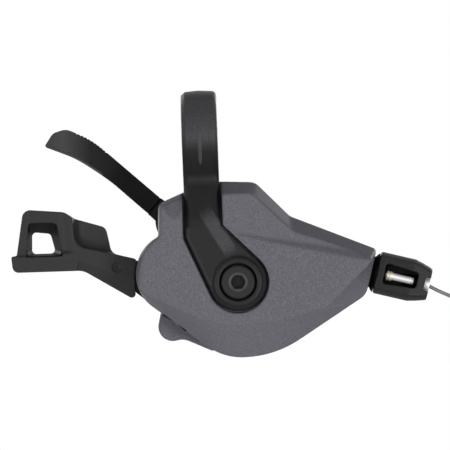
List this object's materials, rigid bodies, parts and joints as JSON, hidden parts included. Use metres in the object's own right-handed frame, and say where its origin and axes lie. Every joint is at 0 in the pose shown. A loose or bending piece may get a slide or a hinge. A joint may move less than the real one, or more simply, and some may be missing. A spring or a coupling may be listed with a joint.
{
  "type": "trigger gear shifter",
  "caption": "Handlebar trigger shifter: clamp band, bevelled housing, thumb and release levers, ratchet drum that winds the inner cable, and a caged cable adjuster.",
  "frame": {"origin": "centre of the handlebar inside the clamp band, at the middle of the band's width", "axes": "+X along the bar towards the cable outlet, +Y from the cover's face towards the rider, +Z from the housing towards the bar"},
  "size_m": [0.1689, 0.0355, 0.1056],
  "materials": {
    "cover": "fine metallic grain",
    "rear_cover": "satin",
    "band": "satin black coat",
    "bolt": "satin black",
    "steel": "plain",
    "black_steel": "semi-gloss black",
    "lever": "satin",
    "release": "satin",
    "black_plastic": "satin",
    "drum": "plain",
    "brass": "plain",
    "tube": "bright",
    "cable": "stranded wire",
    "tie": "plain"
  },
  "bodies": {
    "housing": {"clamp_band": "band", "clamp_bolt": "bolt", "main_axle": "steel", "axle_nut": "black_steel", "axle_clip": "steel", "front_cover": "cover", "rear_cover": "rear_cover", "cover_screws": "black_steel", "cable_port_cap": "black_plastic", "base_plate": "steel", "top_plate": "steel", "plate_posts": "steel", "lever_spacer": "steel", "inner_cable": "cable", "holding_pawl_pin": "steel", "release_pin": "steel", "adjuster_socket": "black_plastic", "detent_washer": "black_steel", "adjuster_tube": "tube", "free_cable": "cable", "cable_coil": "cable", "coil_tie": "tie", "drum_spring": "steel", "main_lever_spring": "steel", "release_lever_spring": "steel", "holding_pawl_spring": "steel"},
    "main_lever": {"main_lever_arm": "black_steel", "main_lever_pad": "lever", "winding_pawl_pin": "steel", "winding_pawl_spring": "steel"},
    "winding_pawl": {"winding_pawl": "steel"},
    "drum": {"cable_drum": "drum", "winding_ratchet": "steel", "holding_ratchet": "steel", "cable_nipple": "steel"},
    "release_lever": {"release_lever_arm": "black_steel", "release_lever_cap": "release"},
    "holding_pawl": {"holding_pawl": "steel"},
    "adjuster_knob": {"adjuster_knob": "black_plastic"},
    "adjuster_bush": {"adjuster_bush": "brass"}
  },
  "joints": [
    {"name": "main_lever_push", "type": "hinge", "parent": "housing", "child": "main_lever", "pos_m": [0.0103, 0, -0.0462], "axis": [0, -1, 0], "range_deg": [0, 33], "stiffness_Nm_per_rad": 0.1, "springref_deg": -17.19, "deforming": ["main_lever_spring"]},
    {"name": "winding_pawl_drop", "type": "hinge", "parent": "main_lever", "child": "winding_pawl", "pos_m": [0.00799, 0, -0.06264], "axis": [0, -1, 0], "range_deg": [0, 8], "stiffness_Nm_per_rad": 0.002, "springref_deg": -11.46, "deforming": ["winding_pawl_spring"]},
    {"name": "drum_wind", "type": "hinge", "parent": "housing", "child": "drum", "pos_m": [0.0103, 0, -0.0462], "axis": [0, -1, 0], "range_deg": [0, 165], "stiffness_Nm_per_rad": 0.02, "springref_deg": -28.65, "deforming": ["drum_spring"]},
    {"name": "release_push", "type": "hinge", "parent": "housing", "child": "release_lever", "pos_m": [-0.007, 0, -0.0267], "axis": [0, -1, 0], "range_deg": [0, 12], "stiffness_Nm_per_rad": 0.08, "springref_deg": -17.19, "deforming": ["release_lever_spring"]},
    {"name": "holding_pawl_lift", "type": "hinge", "parent": "housing", "child": "holding_pawl", "pos_m": [-0.007, 0, -0.045], "axis": [0, -1, 0], "range_deg": [-17, 0], "deforming": ["holding_pawl_spring"]},
    {"name": "adjuster_turn", "type": "hinge", "parent": "housing", "child": "adjuster_knob", "pos_m": [0.0618, -0.0008, -0.04725], "axis": [0.9655, 0, -0.2605], "range_deg": [0, 1800]},
    {"name": "adjuster_bush_slide", "type": "slide", "parent": "housing", "child": "adjuster_bush", "axis": [0.9655, 0, -0.2605], "range_m": [0, 0.00402]}
  ],
  "couplings": [
    {"joint": "holding_pawl_lift", "follows": "release_push", "ratio": -1.4},
    {"joint": "adjuster_bush_slide", "follows": "adjuster_turn", "m_per_rad": 0.00012732}
  ]
}
